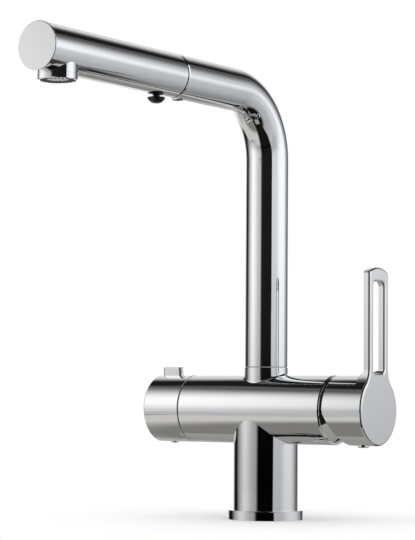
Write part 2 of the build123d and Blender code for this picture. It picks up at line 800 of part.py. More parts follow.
with BuildPart() as docking_sleeve:
    sleeve_r = spout_bore_r - seat_gap
    ring(arm_axis, spout_end - dock_len, spout_end, sleeve_r, dock_bore_d / 2)
    bore(dock_screw_axis, 0, spout_r, dock_screw_d / 2 + seat_gap)
save(docking_sleeve.part, "docking_sleeve")

with BuildPart() as dock_screw:
    dock_screw_end = dock_screw_seat + dock_screw_head_t
    rod(dock_screw_axis, dock_bore_d / 2 + slide_gap, dock_screw_seat, dock_screw_d / 2)
    rod(dock_screw_axis, dock_screw_seat, dock_screw_end, dock_screw_head_d / 2)
    fillet(dock_screw.edges().group_by(Axis.Z)[0], dock_screw_head_t / 2)
    with BuildSketch(dock_screw_axis.offset(dock_screw_end)):
        RegularPolygon(screw_hex / 2, 6, major_radius=False)
    extrude(amount=-dock_screw_head_t, mode=Mode.SUBTRACT)
save(dock_screw.part, "dock_screw")

# Pull-out hose: from the coupling in the pedestal through the spout to the nut in the spray's tail

tail_start = shell_start - tail_len
hose_nut_start = tail_start + seam_gap
hose_nut_end = hose_nut_start + nut_len
hose_end = hose_nut_start + hose_insert
coupling_top = coupling_low_z + coupling_len
hose_low_z = coupling_top - hose_insert

with BuildPart() as spray_hose:
    with BuildSketch(deck.offset(hose_low_z)):
        Circle(hose_d / 2)
    sweep(path=spout_path(hose_low_z, hose_end))
save(spray_hose.part, "spray_hose")

with BuildPart() as hose_coupling:
    rod(deck, coupling_low_z, coupling_top, hose_d / 2 + coupling_wall)
    bore(deck, hose_low_z, coupling_top, hose_d / 2 + seat_gap)
    bore(deck, coupling_low_z, hose_low_z, hose_d / 2 - coupling_wall)
save(hose_coupling.part, "hose_coupling")

# Spray head: shell, end cap, tail and waterway

tail_r = dock_bore_d / 2 - slide_gap
tail_bore_r = tail_r - tail_wall
waterway_start = hose_nut_end + washer_t
check_valve_r = check_valve_d / 2
shell_fit_r = shell_bore_r - seat_gap
nozzle_r = nozzle_d / 2
nozzle_low_z = arm_z - spout_r - nozzle_drop
nozzle_seam_z = nozzle_low_z + nozzle_ring_h
nozzle_bore_r = nozzle_r - nozzle_wall
stub_r = nozzle_bore_r - seat_gap
face_r = nozzle_r - nozzle_ring_wall - seat_gap
face_low_z = nozzle_low_z + face_recess
face_top_z = nozzle_seam_z - face_gap
aerator_top_z = face_low_z + aerator_t
plunger_r = button_neck_d / 2

with BuildPart() as spray_shell:
    ring(arm_axis, shell_start, shell_end, spout_r, shell_bore_r)
    fillet(spray_shell.edges().group_by(Axis.Y)[-1].sort_by(SortBy.LENGTH)[-1], dock_edge)
    bore(nozzle_axis, arm_z - spout_r, arm_z, nozzle_r + seat_gap)
    bore(button_axis, arm_z - spout_r, arm_z - spout_r / 2, plunger_r + slide_gap)
save(spray_shell.part, "spray_shell")

with BuildPart() as end_cap:
    rod(arm_axis, shell_end, reach, spout_r)
    fillet(end_cap.edges().group_by(Axis.Y)[0], cap_edge)
    rod(arm_axis, shell_end - cap_ring_len, shell_end, shell_fit_r)
    bore(arm_axis, shell_end - cap_ring_len, shell_end, shell_fit_r - cap_ring_wall)
save(end_cap.part, "end_cap")

with BuildPart() as spray_tail:
    rod(arm_axis, tail_start, shell_start + tail_flange_t, tail_r)
    rod(arm_axis, shell_start, shell_start + tail_flange_t, shell_fit_r)
    bore(arm_axis, tail_start, shell_start + tail_flange_t, tail_bore_r)
save(spray_tail.part, "spray_tail")

waterway_r = waterway_d / 2
waterway_bore_r = waterway_bore_d / 2
spring_r = plunger_r + slide_gap + spring_wire_d
spring_room_r = spring_r + spring_wire_d / 2 + slide_gap
spring_seat_z = arm_z - waterway_bore_r - spring_roof
rib_end = nozzle_at - waterway_rib_back

with BuildPart() as spray_waterway:
    rod(arm_axis, waterway_start, shell_start + tail_flange_t, tail_bore_r - seat_gap)
    rod(arm_axis, shell_start + tail_flange_t, nozzle_at, waterway_r)
    rod(arm_axis, rib_end - waterway_rib_t, rib_end, shell_fit_r)
    rod(nozzle_axis, aerator_top_z, arm_z + sqrt(shell_fit_r**2 - stub_r**2) - slide_gap, stub_r)
    # Bores: check valve, through bore, outlet to the nozzle, and the room of the spring and plunger
    bore(arm_axis, waterway_start, waterway_start + check_valve_len, check_valve_r + seat_gap)
    bore(arm_axis, waterway_start, nozzle_at, waterway_bore_r)
    bore(nozzle_axis, aerator_top_z, arm_z, stub_r - stub_wall)
    bore(button_axis, arm_z - waterway_r, spring_seat_z, spring_room_r)
    bore(button_axis, spring_seat_z, arm_z, plunger_r + slide_gap)
save(spray_waterway.part, "spray_waterway")

with BuildPart() as hose_nut:
    nut_r = tail_bore_r - seat_gap
    rod(arm_axis, hose_nut_start, hose_nut_end, nut_r)
    bore(arm_axis, hose_nut_start, hose_end, hose_d / 2 + seat_gap)
    bore(arm_axis, hose_end, hose_nut_end, waterway_bore_r)
save(hose_nut.part, "hose_nut")

with BuildPart() as hose_washer:
    ring(arm_axis, hose_nut_end, waterway_start, nut_r, waterway_bore_r)
save(hose_washer.part, "hose_washer")

with BuildPart() as check_valve:
    ring(arm_axis, waterway_start, waterway_start + check_valve_len, check_valve_r, waterway_bore_r)
    poppet_start = waterway_start + check_valve_len / 2
    rod(arm_axis, poppet_start, waterway_start + check_valve_len, poppet_d / 2)
    with BuildSketch(arm_axis.offset(poppet_start)):
        Rectangle(waterway_bore_d + poppet_bar, poppet_bar)
    extrude(amount=poppet_bar)
save(check_valve.part, "check_valve")

# Nozzle under the spray head

with BuildPart() as nozzle_collar:
    ring(nozzle_axis, nozzle_seam_z, arm_z - nozzle_sink, nozzle_r, nozzle_bore_r)
    bore(arm_axis, nozzle_at - nozzle_d, nozzle_at, waterway_r + slide_gap)
save(nozzle_collar.part, "nozzle_collar")

with BuildPart() as nozzle_ring:
    ring(nozzle_axis, nozzle_low_z, nozzle_seam_z, nozzle_r, nozzle_r - nozzle_ring_wall)
    chamfer(nozzle_ring.edges().group_by(Axis.Z)[0], nozzle_ring_edge)
    seam_edge = nozzle_ring.edges().group_by(Axis.Z)[-1].sort_by(SortBy.LENGTH)[-1]
    chamfer(seam_edge, nozzle_seam_edge)
save(nozzle_ring.part, "nozzle_ring")

aerator_r = aerator_d / 2

with BuildPart() as spray_face:
    ring(nozzle_axis, face_low_z, face_top_z, face_r, aerator_r + seat_gap)
    with Locations(nozzle_axis.offset(face_low_z - jet_proud).location):
        with PolarLocations(face_r - jet_inset, jet_count):
            Cylinder(jet_r, jet_proud, align=from_base)
save(spray_face.part, "spray_face")

with BuildPart() as aerator_insert:
    rod(nozzle_axis, face_low_z, aerator_top_z, aerator_r)
    with Locations(nozzle_axis.offset(face_low_z).location):
        with HexLocations(aerator_pitch / 2, aerator_rows, aerator_rows):
            Cylinder(aerator_cell_r, aerator_cell_depth, align=from_base, mode=Mode.SUBTRACT)
save(aerator_insert.part, "aerator_insert")

# Spray button and the diverter plunger that it lifts

button_flat_z = arm_z - spout_r - button_gap
button_low_z = button_flat_z - button_dome_h
plunger_flange_z = arm_z - sqrt(shell_bore_r**2 - (plunger_flange_d / 2) ** 2) + slide_gap
plunger_room = sqrt(waterway_bore_r**2 - (plunger_r + slide_gap) ** 2)
plunger_top_z = arm_z + plunger_room - button_travel - slide_gap

with BuildPart() as spray_button:
    with BuildSketch(Plane(origin=(0, -button_at, 0), x_dir=(1, 0, 0), z_dir=(0, -1, 0))):
        with BuildLine():
            dome = ThreePointArc(
                (0, button_low_z),
                (button_d / 2 * sin(radians(45)), button_flat_z - button_dome_h * cos(radians(45))),
                (button_d / 2, button_flat_z),
            )
            flat = Line(dome @ 1, (plunger_r, button_flat_z))
            neck_up = Line(flat @ 1, (plunger_r, plunger_flange_z))
            neck_in = Line(neck_up @ 1, (0, plunger_flange_z))
            Line(neck_in @ 1, dome @ 0)
        make_face()
    revolve(axis=Axis((0, -button_at, 0), (0, 0, 1)))
save(spray_button.part, "spray_button")

with BuildPart() as diverter_plunger:
    flange_top_z = plunger_flange_z + plunger_flange_t
    rod(button_axis, plunger_flange_z, flange_top_z, plunger_flange_d / 2)
    rod(button_axis, flange_top_z, plunger_top_z, plunger_r)
    rod(button_axis, arm_z, arm_z + plunger_seal_t, plunger_seal_d / 2)
save(diverter_plunger.part, "diverter_plunger")

with BuildPart() as button_spring:
    spring_low_z = flange_top_z + spring_wire_d / 2 + seat_gap
    spring_high_z = spring_seat_z - spring_wire_d / 2
    spring_rise = spring_high_z - spring_low_z
    with BuildLine() as spring_line:
        Helix(
            spring_rise / spring_turns, spring_rise, spring_r, center=(0, -button_at, spring_low_z)
        )
    with BuildSketch(Plane(origin=spring_line.line @ 0, z_dir=spring_line.line % 0)):
        Circle(spring_wire_d / 2)
    sweep(path=spring_line.line)
save(button_spring.part, "button_spring")
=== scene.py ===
import json
from math import cos, pi, radians, sin, tau

import bpy
from bpy.props import FloatProperty, FloatVectorProperty, IntProperty, PointerProperty
from mathutils import Matrix, Vector


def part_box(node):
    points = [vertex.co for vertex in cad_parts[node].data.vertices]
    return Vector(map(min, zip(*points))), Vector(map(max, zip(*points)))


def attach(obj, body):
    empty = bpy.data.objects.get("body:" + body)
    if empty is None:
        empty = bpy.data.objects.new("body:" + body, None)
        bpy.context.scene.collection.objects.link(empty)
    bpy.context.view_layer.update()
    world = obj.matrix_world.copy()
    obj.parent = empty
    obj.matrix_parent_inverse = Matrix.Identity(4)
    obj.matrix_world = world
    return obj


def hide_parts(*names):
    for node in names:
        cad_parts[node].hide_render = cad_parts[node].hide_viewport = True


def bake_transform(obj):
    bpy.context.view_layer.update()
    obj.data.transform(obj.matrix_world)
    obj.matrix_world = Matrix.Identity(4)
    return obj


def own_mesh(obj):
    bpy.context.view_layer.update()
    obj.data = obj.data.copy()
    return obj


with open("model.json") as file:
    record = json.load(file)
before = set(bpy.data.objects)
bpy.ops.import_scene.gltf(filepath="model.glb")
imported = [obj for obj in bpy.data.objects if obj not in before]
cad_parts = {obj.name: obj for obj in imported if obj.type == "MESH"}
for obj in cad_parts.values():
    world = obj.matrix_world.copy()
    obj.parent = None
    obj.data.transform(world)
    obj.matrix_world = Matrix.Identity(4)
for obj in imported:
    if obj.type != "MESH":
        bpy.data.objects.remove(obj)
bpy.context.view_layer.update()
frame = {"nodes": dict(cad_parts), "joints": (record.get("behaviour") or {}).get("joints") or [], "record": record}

bl_info = {
    "name": "Kitchen mixer tap",
    "version": (1, 0, 0),
    "blender": (4, 5, 0),
    "location": "3D View > Sidebar > Mixer tap",
    "description": "Finishes, hose and studio for a chrome kitchen mixer tap with a pull-out spray",
    "category": "Object",
}

# The spout's centre line, which the hose follows, in metres in the part's frame
ARM_HEIGHT = 0.293
BEND_RADIUS = 0.044
# Stretch of hose in the arm that is drawn out with the spray
DRAW_START = 0.045
DRAW_END = 0.090
# Even steps in which the hose is measured before its rings are set
HOSE_STEPS = 6000
# Power that widens the crown of a braid's strand
CROWN_POWER = 0.7
# Button spring: radius of its wire, its turns, the mesh steps in a turn and the points round the wire
WIRE_RADIUS = 0.0003
SPRING_TURNS = 3
TURN_STEPS = 40
WIRE_POINTS = 10
# Roughness of each plain finish at its middle
BLACK_ROUGHNESS = 0.28
GREY_ROUGHNESS = 0.42
BRASS_ROUGHNESS = 0.24
STEEL_ROUGHNESS = 0.28
BLACKENED_ROUGHNESS = 0.30
WIRE_ROUGHNESS = 0.22
# Floor that takes the shadow: its radius, and the radii between which it fades into the white
FLOOR_RADIUS = 0.6
FLOOR_FADE = (0.03, 0.30)
# Ground that the chrome reflects, a glow seen only in reflections that paints them: its radius and its drop below
# the floor
GROUND_RADIUS = 1.2
GROUND_DROP = 0.10
# Corners of the floor and of the ground
DISC_CORNERS = 96
# Brightness of that ground at its darkest and far behind the tap
DARK_GROUND = 0.008
FAR_GROUND = 0.25
# Table on that ground: its front and right edges, and how soft its front edge is
TABLE_FRONT = -0.42
TABLE_SIDE = -0.02
TABLE_EDGE = 0.006
# Dark lines along those edges: the share of the light that each takes
FRONT_LINE = 0.7
SIDE_LINE = 0.65
# Brightness of the ground beside the table, as a share of the table's
BESIDE_TABLE = 0.86
# Light tent that the chrome reflects, a glow seen only in reflections that paints them: its radius, the height of
# its middle, and its mesh columns and rows
TENT_RADIUS = 4.0
TENT_HEIGHT = 0.08
DOME_COLUMNS = 64
DOME_ROWS = 48
# Nearer left side of the tent: its reach, its start and end round from the camera's side, and its foot
LEFT_REACH = 0.65
LEFT_START = -140
LEFT_END = -20
LEFT_FOOT = -8.3
# Flat panels of light: their headings in degrees round from the camera's side
LEFT_HEADING = -80
RIGHT_HEADING = 85
BACK_HEADING = 180
# Least reach towards a panel that counts, so that the heights on it stay finite
LEAST_FACING = 0.05
# Dark front between the side panels: from where to where each panel's light comes up, in the same degrees
FRONT_LEFT = (-28, -40)
FRONT_RIGHT = (22, 26)
# Dim band over each side panel: its brightness
LEFT_BAND = 0.09
RIGHT_BAND = 0.085
# Dark flag in front of the right panel, a near-black glow seen only in reflections that paints a dark reflection:
# its reach and its corners across and up
FLAG_REACH = 0.405
FLAG_CORNERS = ((-0.12, 0.16), (0.18, 0.16), (0.18, 0.60), (-0.12, 0.60))
# Grey card that the lever's hub reflects, a glow seen only in reflections that paints them, behind the pedestal
# and under the hub: its height and corners
HUB_CARD_HEIGHT = -0.02
HUB_CARD_BEHIND = ((-0.12, -0.01), (0.045, -0.01), (0.045, 0.30), (-0.12, 0.30))
HUB_CARD_UNDER = ((0.045, -0.085), (0.14, -0.085), (0.14, 0.07), (0.045, 0.07))
# Soft lamps: where each stands and its power in watts, and the side and the aim of both
KEY_LAMP_AT = (-1.2, -1.0, 1.4)
KEY_LAMP_POWER = 5
FILL_LAMP_AT = (1.4, -0.6, 1.1)
FILL_LAMP_POWER = 4
LAMP_SIDE = 1.2
LAMP_AIM = (0, 0, 0.1)
# Long side of the camera's picture in millimetres
SENSOR_SIDE = 36


# Properties


class TapFinishes(bpy.types.PropertyGroup):
    """Colours and gloss of the tap's finishes."""

    chrome: FloatVectorProperty(
        name="Chrome", description="Tint of the plating", subtype="COLOR", min=0, max=1,
        default=(0.90, 0.905, 0.91),
    )
    chrome_roughness: FloatProperty(
        name="Chrome roughness", description="Roughness of clean plating", subtype="FACTOR", min=0, max=1,
        default=0.03,
    )
    black: FloatVectorProperty(
        name="Black plastic", description="Button and docking pieces", subtype="COLOR", min=0, max=1,
        default=(0.004, 0.004, 0.0042),
    )
    grey: FloatVectorProperty(
        name="Grey plastic", description="Cartridge, bushes and waterway", subtype="COLOR", min=0, max=1,
        default=(0.48, 0.48, 0.46),
    )
    rubber: FloatVectorProperty(
        name="Rubber", description="Seals and gasket", subtype="COLOR", min=0, max=1,
        default=(0.02, 0.02, 0.021),
    )
    silicone: FloatVectorProperty(
        name="Nozzle rubber", description="Spray face with its jets", subtype="COLOR", min=0, max=1,
        default=(0.09, 0.09, 0.095),
    )
    brass: FloatVectorProperty(
        name="Brass", description="Turned brass inside the tap", subtype="COLOR", min=0, max=1,
        default=(0.72, 0.52, 0.22),
    )
    steel: FloatVectorProperty(
        name="Steel", description="Stem, pins, screws and spring", subtype="COLOR", min=0, max=1,
        default=(0.50, 0.50, 0.51),
    )
    blackened: FloatVectorProperty(
        name="Blackened steel", description="Screw under the spout", subtype="COLOR", min=0, max=1,
        default=(0.06, 0.055, 0.05),
    )
    ceramic: FloatVectorProperty(
        name="Ceramic", description="Lapped valve discs", subtype="COLOR", min=0, max=1,
        default=(0.80, 0.79, 0.76),
    )
    braid: FloatVectorProperty(
        name="Hose braid", description="Woven nylon on the hose", subtype="COLOR", min=0, max=1,
        default=(0.10, 0.105, 0.11),
    )


class TapHose(bpy.types.PropertyGroup):
    """Sizes of the pull-out hose's braid."""

    strands: IntProperty(
        name="Strands", description="Strands that wind each way round", min=4, max=24, default=10,
    )
    lay: FloatProperty(
        name="Lay", description="Length in which a strand goes once round", subtype="DISTANCE",
        unit="LENGTH", min=0.005, max=0.2, default=0.045,
    )
    relief: FloatProperty(
        name="Relief", description="Height of a strand over the gaps", subtype="DISTANCE", unit="LENGTH",
        min=0, max=0.001, default=0.00035,
    )
    ring_step: FloatProperty(
        name="Ring step", description="Spacing of the mesh rings on the drawn hose", subtype="DISTANCE",
        unit="LENGTH", min=0.0002, max=0.01, default=0.0011,
    )
    ring_points: IntProperty(
        name="Ring points", description="Points round the hose", min=12, max=200, default=60,
    )


class TapStudio(bpy.types.PropertyGroup):
    """Camera and light."""

    azimuth: FloatProperty(
        name="Camera azimuth", description="Round the column, from the front towards the lever",
        subtype="ANGLE", unit="ROTATION", default=radians(33.7697),
    )
    distance: FloatProperty(
        name="Camera distance", description="From the column, along the floor", subtype="DISTANCE",
        unit="LENGTH", default=1.35502,
    )
    height: FloatProperty(
        name="Camera height", description="Over the deck", subtype="DISTANCE", unit="LENGTH",
        default=0.085588,
    )
    turn: FloatProperty(
        name="Camera turn", description="Heading of the view", subtype="ANGLE", unit="ROTATION",
        default=radians(35.5132),
    )
    lift: FloatProperty(
        name="Camera lift", description="How far the view looks up", subtype="ANGLE", unit="ROTATION",
        default=radians(3.6513),
    )
    roll: FloatProperty(
        name="Camera roll", description="Lean of the view", subtype="ANGLE", unit="ROTATION",
        default=radians(0.4022),
    )
    lens: FloatProperty(
        name="Lens", description="Focal length on a 36 mm long side", unit="CAMERA", default=129.893,
    )
    left_level: FloatProperty(
        name="Left panel", description="Brightness of the light panel on the left", min=0, max=2,
        default=1.0,
    )
    right_level: FloatProperty(
        name="Right panel", description="Brightness of the light panel on the right", min=0, max=2,
        default=1.0,
    )
    back_level: FloatProperty(
        name="Back sweep", description="Brightness of the white sweep behind", min=0, max=2, default=1.08,
    )
    right_tint: FloatVectorProperty(
        name="Right tint", description="Colour of the light panel on the right", subtype="COLOR",
        min=0, max=1, default=(0.94, 0.962, 1.0),
    )
    table: FloatVectorProperty(
        name="Table", description="Pale table as the chrome shows it", subtype="COLOR", min=0, max=1,
        default=(1.0, 0.975, 0.93),
    )
    floor: FloatVectorProperty(
        name="Floor", description="Pale floor", subtype="COLOR", min=0, max=1, default=(0.93, 0.93, 0.93),
    )
    daylight: FloatProperty(
        name="Fill", description="Even light from all round", min=0, max=2, default=1.0,
    )


# Node helpers


def new_finish(name):
    """A node material, its tree and its shader."""
    material = bpy.data.materials.new(name)
    material.use_nodes = True
    return material, material.node_tree, material.node_tree.nodes["Principled BSDF"]


def node(tree, kind, inputs=None, **settings):
    """A node with its settings and inputs; an input is a value or another node's socket."""
    made = tree.nodes.new(kind)
    for key, value in settings.items():
        setattr(made, key, value)
    for key, value in (inputs or {}).items():
        if isinstance(value, bpy.types.NodeSocket):
            tree.links.new(value, made.inputs[key])
        else:
            made.inputs[key].default_value = value
    return made


def spot_on(tree):
    """Coordinates on the piece."""
    return node(tree, "ShaderNodeTexCoord").outputs["Object"]


def split(tree, vector):
    """Parts of a vector along each axis."""
    return node(tree, "ShaderNodeSeparateXYZ", {"Vector": vector}).outputs


def length_of(tree, vector):
    """Length of a vector."""
    return node(tree, "ShaderNodeVectorMath", {0: vector}, operation="LENGTH").outputs["Value"]


def scaled(tree, colour, shade):
    """Colour times a lightness."""
    inputs = {0: tuple(colour), "Scale": shade}
    return node(tree, "ShaderNodeVectorMath", inputs, operation="SCALE").outputs["Vector"]


def place(tree, stretch=(1, 1, 1)):
    """Coordinates on the piece, stretched along its axes."""
    inputs = {"Vector": spot_on(tree), "Scale": stretch}
    return node(tree, "ShaderNodeMapping", inputs).outputs["Vector"]


def noise(tree, where, scale, detail=2.0):
    """Grey noise with about scale features a metre."""
    made = node(tree, "ShaderNodeTexNoise", {"Vector": where, "Scale": scale, "Detail": detail})
    return made.outputs["Fac"]


def between(tree, value, low, high, start=0.0, end=1.0, smooth=False):
    """Value between start and end, as low to high."""
    kind = "SMOOTHSTEP" if smooth else "LINEAR"
    limits = {"Value": value, "From Min": start, "From Max": end, "To Min": low, "To Max": high}
    return node(tree, "ShaderNodeMapRange", limits, interpolation_type=kind).outputs["Result"]


def ramps(tree):
    """Maker of smooth ramps in a tree."""
    def ramp(value, start, end, low=0.0, high=1.0):
        """Low where the value is at the start or before it, and high at the end or after it."""
        return between(tree, value, low, high, start, end, smooth=True)

    return ramp


def reckon(tree, operation, first, second=0.0):
    """Result of one step of arithmetic."""
    return node(tree, "ShaderNodeMath", {0: first, 1: second}, operation=operation).outputs["Value"]


def total(tree, operation, *values):
    """Sum or product of several values."""
    result = values[0]
    for value in values[1:]:
        result = reckon(tree, operation, result, value)
    return result


def rest_of(tree, share):
    """What a share leaves of the whole."""
    return reckon(tree, "SUBTRACT", 1.0, share)


def apart(tree, value, line):
    """Distance of a value from a line."""
    return reckon(tree, "ABSOLUTE", reckon(tree, "SUBTRACT", value, line))


def emboss(tree, shader, *layers):
    """Relief from (height, depth in metres) layers, one on top of the other."""
    normal = None
    for height, depth in layers:
        inputs = {"Height": height, "Distance": depth, "Strength": 1.0}
        if normal:
            inputs["Normal"] = normal
        normal = node(tree, "ShaderNodeBump", inputs).outputs["Normal"]
    tree.links.new(normal, shader.inputs["Normal"])


def tinted(tree, shader, colour, where, scale, depth):
    """Base colour that varies a little in lightness over the surface."""
    cloud = noise(tree, where, scale, detail=4.0)
    shade = between(tree, cloud, 1 - depth, 1 + depth, start=0.3, end=0.7)
    tree.links.new(scaled(tree, colour, shade), shader.inputs["Base Color"])


# Finishes


def polished_chrome(finishes):
    """Bright plating over a polished casting: near mirror, with faint smears and polishing marks."""
    material, tree, shader = new_finish("polished_chrome")
    where = place(tree)
    shader.inputs["Base Color"].default_value = (*finishes.chrome, 1)
    shader.inputs["Metallic"].default_value = 1
    clean = finishes.chrome_roughness
    smears = noise(tree, where, scale=38, detail=5.0)
    smeared = between(tree, smears, clean, clean + 0.035, start=0.45, end=0.75, smooth=True)
    marks = noise(tree, place(tree, stretch=(1, 1, 0.06)), scale=2400, detail=1.0)
    marked = between(tree, marks, low=0, high=0.02)
    tree.links.new(reckon(tree, "ADD", smeared, marked), shader.inputs["Roughness"])
    ripple = noise(tree, where, scale=55, detail=1.0)
    haze = noise(tree, where, scale=900)
    emboss(tree, shader, (ripple, 1.2e-6), (haze, 6e-8))
    return material


def moulded_plastic(name, colour, roughness):
    """Moulded plastic with a fine spark-eroded grain."""
    material, tree, shader = new_finish(name)
    where = place(tree)
    tinted(tree, shader, colour, where, scale=220, depth=0.08)
    grain = noise(tree, where, scale=2600, detail=3.0)
    tree.links.new(between(tree, grain, roughness - 0.06, roughness + 0.08), shader.inputs["Roughness"])
    flow = noise(tree, where, scale=120)
    emboss(tree, shader, (flow, 2e-5), (grain, 1.2e-5))
    return material


def soft_rubber(name, colour):
    """Matt rubber with a dusty bloom and a moulded skin."""
    material, tree, shader = new_finish(name)
    where = place(tree)
    tinted(tree, shader, colour, where, scale=300, depth=0.18)
    skin = noise(tree, where, scale=1800, detail=4.0)
    tree.links.new(between(tree, skin, low=0.48, high=0.72), shader.inputs["Roughness"])
    shader.inputs["Specular IOR Level"].default_value = 0.4
    emboss(tree, shader, (skin, 2e-5))
    return material


def turned_metal(name, colour, roughness, axis):
    """Turned bar with fine tool lines across its axis."""
    material, tree, shader = new_finish(name)
    where = place(tree)
    lines = node(
        tree, "ShaderNodeTexWave",
        {"Vector": where, "Scale": 420, "Distortion": 1.2, "Detail": 2.0, "Detail Scale": 3.0},
        wave_type="BANDS", bands_direction=axis,
    ).outputs["Fac"]
    tinted(tree, shader, colour, where, scale=140, depth=0.10)
    shader.inputs["Metallic"].default_value = 1
    tree.links.new(between(tree, lines, roughness - 0.05, roughness + 0.08), shader.inputs["Roughness"])
    handling = noise(tree, where, scale=500, detail=3.0)
    emboss(tree, shader, (lines, 6e-6), (handling, 6e-6))
    return material


def lapped_ceramic(finishes):
    """Dense white ceramic, ground flat, with a faint speckle."""
    material, tree, shader = new_finish("lapped_ceramic")
    where = place(tree)
    tinted(tree, shader, finishes.ceramic, where, scale=900, depth=0.05)
    speckle = noise(tree, where, scale=1500, detail=3.0)
    tree.links.new(between(tree, speckle, low=0.10, high=0.24), shader.inputs["Roughness"])
    pores = noise(tree, where, scale=2000)
    emboss(tree, shader, (pores, 2e-6))
    return material


def woven_braid(finishes, strands):
    """Nylon braid: painted highlight on the strand crowns, painted shade in the gaps, and fine threads along the
    strands.
    """
    material, tree, shader = new_finish("woven_braid")
    where = node(tree, "ShaderNodeUVMap", uv_map="braid").outputs["UV"]
    threads = node(
        tree, "ShaderNodeTexWave",
        {"Vector": where, "Scale": strands * 2.5, "Distortion": 0.6, "Detail": 1.0},
        wave_type="BANDS", bands_direction="DIAGONAL",
    ).outputs["Fac"]
    crown = node(tree, "ShaderNodeAttribute", attribute_name="crown").outputs["Fac"]
    # Colour lighter on the raised crowns and darker in the gaps between strands: painted highlight and painted
    # shade
    crown_highlight_gap_shade = between(tree, crown, low=0.35, high=1.3)
    on_thread = between(tree, threads, low=0.8, high=1.15)
    shade = reckon(tree, "MULTIPLY", crown_highlight_gap_shade, on_thread)
    tree.links.new(scaled(tree, finishes.braid, shade), shader.inputs["Base Color"])
    tree.links.new(between(tree, threads, low=0.38, high=0.6), shader.inputs["Roughness"])
    shader.inputs["Sheen Weight"].default_value = 0.2
    emboss(tree, shader, (threads, 4e-5))
    return material


# Pieces


def nodes_with(slot):
    """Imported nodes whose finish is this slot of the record."""
    return [part["node"] for part in frame["record"]["subparts"] if part["material_slot"] == slot]


def coat(names, material):
    """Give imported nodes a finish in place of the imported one."""
    for name in names:
        materials = frame["nodes"][name].data.materials
        materials.clear()
        materials.append(material)


def mesh_piece(name, points, faces, material):
    """A smooth mesh piece in the part's frame."""
    mesh = bpy.data.meshes.new(name)
    mesh.from_pydata(points, [], faces)
    mesh.polygons.foreach_set("use_smooth", [True] * len(mesh.polygons))
    mesh.materials.append(material)
    piece = bpy.data.objects.new(name, mesh)
    bpy.context.scene.collection.objects.link(piece)
    return piece


def travel_of(slide):
    """How far a sliding joint goes."""
    return next(joint for joint in frame["joints"] if joint["name"] == slide)["range_m"][1]


def tube_faces(rings, count):
    """Faces of a tube of rings with count points each, closed by one face at each end."""
    faces = []
    for ring in range(rings - 1):
        for at in range(count):
            after = (at + 1) % count
            low, high = ring * count, (ring + 1) * count
            faces.append((low + at, low + after, high + after, high + at))
    faces.append(tuple(reversed(range(count))))
    faces.append(tuple(range((rings - 1) * count, rings * count)))
    return faces


class TAP_OT_chrome(bpy.types.Operator):
    """Polished chrome on the body, spout, spray, lever, knob and flange"""

    bl_idname = "tap.chrome"
    bl_label = "Chrome pieces"

    def execute(self, context):
        coat(nodes_with("chrome"), polished_chrome(context.scene.tap_finishes))
        return {"FINISHED"}


class TAP_OT_plastics(bpy.types.Operator):
    """Moulded plastics: button, docking pieces, cartridge, bushes and waterway"""

    bl_idname = "tap.plastics"
    bl_label = "Plastic pieces"

    def execute(self, context):
        finishes = context.scene.tap_finishes
        black = moulded_plastic("black_plastic", finishes.black, BLACK_ROUGHNESS)
        coat(nodes_with("black_plastic"), black)
        grey = moulded_plastic("grey_plastic", finishes.grey, GREY_ROUGHNESS)
        coat(nodes_with("grey_plastic"), grey)
        return {"FINISHED"}


class TAP_OT_rubbers(bpy.types.Operator):
    """Seals, gasket and spray face"""

    bl_idname = "tap.rubbers"
    bl_label = "Rubber pieces"

    def execute(self, context):
        finishes = context.scene.tap_finishes
        coat(nodes_with("rubber"), soft_rubber("seal_rubber", finishes.rubber))
        coat(nodes_with("nozzle_rubber"), soft_rubber("nozzle_rubber", finishes.silicone))
        return {"FINISHED"}


class TAP_OT_inner_metals(bpy.types.Operator):
    """Turned brass and steel inside the tap"""

    bl_idname = "tap.inner_metals"
    bl_label = "Brass and steel pieces"

    def execute(self, context):
        finishes = context.scene.tap_finishes
        upright = {"spout_spigot", "spout_inner_collar", "hose_coupling"}
        forward = {"hose_nut"}
        across = set(nodes_with("brass")) - upright - forward
        for axis, names in (("X", across), ("Y", forward), ("Z", upright)):
            brass = turned_metal(f"turned_brass_{axis.lower()}", finishes.brass, BRASS_ROUGHNESS, axis)
            coat(sorted(names), brass)
        coat(nodes_with("steel"), turned_metal("drawn_steel", finishes.steel, STEEL_ROUGHNESS, "X"))
        blackened = turned_metal("blackened_steel", finishes.blackened, BLACKENED_ROUGHNESS, "Z")
        coat(["dock_screw"], blackened)
        return {"FINISHED"}


class TAP_OT_ceramics(bpy.types.Operator):
    """Lapped valve discs"""

    bl_idname = "tap.ceramics"
    bl_label = "Ceramic discs"

    def execute(self, context):
        coat(nodes_with("disc_ceramic"), lapped_ceramic(context.scene.tap_finishes))
        return {"FINISHED"}


